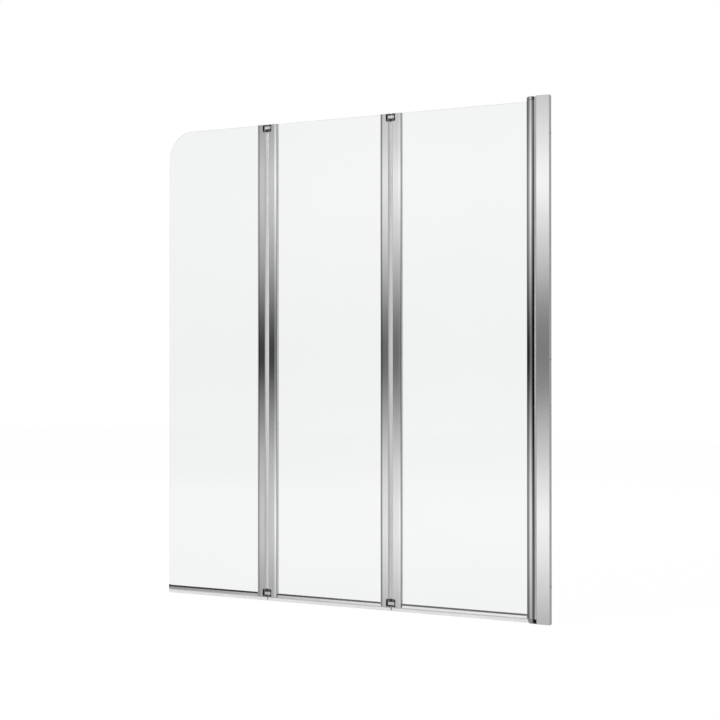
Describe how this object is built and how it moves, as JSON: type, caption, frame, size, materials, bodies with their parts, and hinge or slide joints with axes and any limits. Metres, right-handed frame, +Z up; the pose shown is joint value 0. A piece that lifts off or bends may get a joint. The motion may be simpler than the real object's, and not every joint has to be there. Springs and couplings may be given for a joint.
{
  "type": "folding bath screen",
  "caption": "Folding bath screen of clear panes with a rounded free corner, on double-pin fold columns and a chrome wall channel with a pivot and a bottom seal.",
  "frame": {"origin": "on the wall plane, at the foot of the wall channel, in the middle of its thickness", "axes": "+X into the wall, -X along the screen to its free edge, -Y towards the viewer, +Z up"},
  "size_m": [1.2, 0.0206, 1.4],
  "materials": {
    "clear_glass": "clear toughened glass, polished edges with a faint green tint",
    "glazing_gasket": "soft pale glazing gasket",
    "chrome_profile": "polished chrome-effect aluminium extrusion",
    "satin_profile": "satin aluminium extrusion",
    "grey_nylon": "moulded dark grey nylon",
    "black_nylon": "moulded black nylon",
    "soft_nose": "soft translucent grey nose seal",
    "seal_lip": "dark soft lip of the bottom seal",
    "clear_seal": "clear PVC seal",
    "black_rubber": "black rubber",
    "link_metal": "satin cast link",
    "grey_metal": "satin grey",
    "steel_pin": "turned stainless steel",
    "pale_plastic": "moulded pale grey plastic",
    "grey_plastic": "moulded grey plastic"
  },
  "bodies": {
    "wall_frame": {"wall_channel": "chrome_profile", "channel_top_cap": "pale_plastic", "jamb_profile": "satin_profile", "jamb_seal": "black_rubber", "top_bracket": "black_nylon", "top_pivot_cap": "chrome_profile", "cap_nose_strip": "black_rubber", "bottom_bracket": "black_nylon", "bottom_pivot_boss": "grey_metal", "pivot_pins": "steel_pin", "clamp_screws": "steel_pin"},
    "inner_panel": {"pivot_profile": "chrome_profile", "pivot_nose_strip": "black_rubber", "pivot_bushes": "black_nylon", "inner_glass": "clear_glass", "inner_gaskets": "glazing_gasket", "inner_hinge_profile": "chrome_profile", "inner_hinge_blocks": "grey_nylon", "inner_nose_seal": "soft_nose", "inner_seal_lips": "seal_lip", "inner_seal_clip": "clear_seal", "inner_seal_fins": "clear_seal"},
    "inner_links": {"inner_link_bars": "link_metal", "inner_link_pins": "steel_pin", "inner_link_washers": "black_nylon"},
    "middle_panel": {"middle_glass": "clear_glass", "middle_gaskets": "glazing_gasket", "middle_wallside_profile": "chrome_profile", "middle_wallside_blocks": "grey_nylon", "middle_wallside_nose": "soft_nose", "middle_freeside_profile": "chrome_profile", "middle_freeside_blocks": "grey_nylon", "middle_freeside_nose": "soft_nose", "middle_seal_lips": "seal_lip", "middle_seal_clip": "clear_seal", "middle_seal_fins": "clear_seal"},
    "outer_links": {"outer_link_bars": "link_metal", "outer_link_pins": "steel_pin", "outer_link_washers": "black_nylon"},
    "outer_panel": {"outer_glass": "clear_glass", "outer_gasket": "glazing_gasket", "outer_hinge_profile": "chrome_profile", "outer_hinge_blocks": "grey_nylon", "outer_nose_seal": "soft_nose", "outer_seal_lips": "seal_lip", "outer_seal_clip": "clear_seal", "outer_seal_fins": "clear_seal", "outer_seal_end_cap": "grey_plastic"}
  },
  "joints": [
    {"name": "wall_pivot", "type": "hinge", "parent": "wall_frame", "child": "inner_panel", "pos_m": [-0.0523, 0, 0], "axis": [0, 0, 1], "range_deg": [0, 90]},
    {"name": "inner_fold_near_pin", "type": "hinge", "parent": "inner_panel", "child": "inner_links", "pos_m": [-0.452, 0, 0], "axis": [0, 0, -1], "range_deg": [0, 90]},
    {"name": "inner_fold_far_pin", "type": "hinge", "parent": "inner_links", "child": "middle_panel", "pos_m": [-0.47, 0, 0], "axis": [0, 0, -1], "range_deg": [0, 90]},
    {"name": "outer_fold_near_pin", "type": "hinge", "parent": "middle_panel", "child": "outer_links", "pos_m": [-0.848, 0, 0], "axis": [0, 0, 1], "range_deg": [0, 90]},
    {"name": "outer_fold_far_pin", "type": "hinge", "parent": "outer_links", "child": "outer_panel", "pos_m": [-0.866, 0, 0], "axis": [0, 0, 1], "range_deg": [0, 90]}
  ]
}
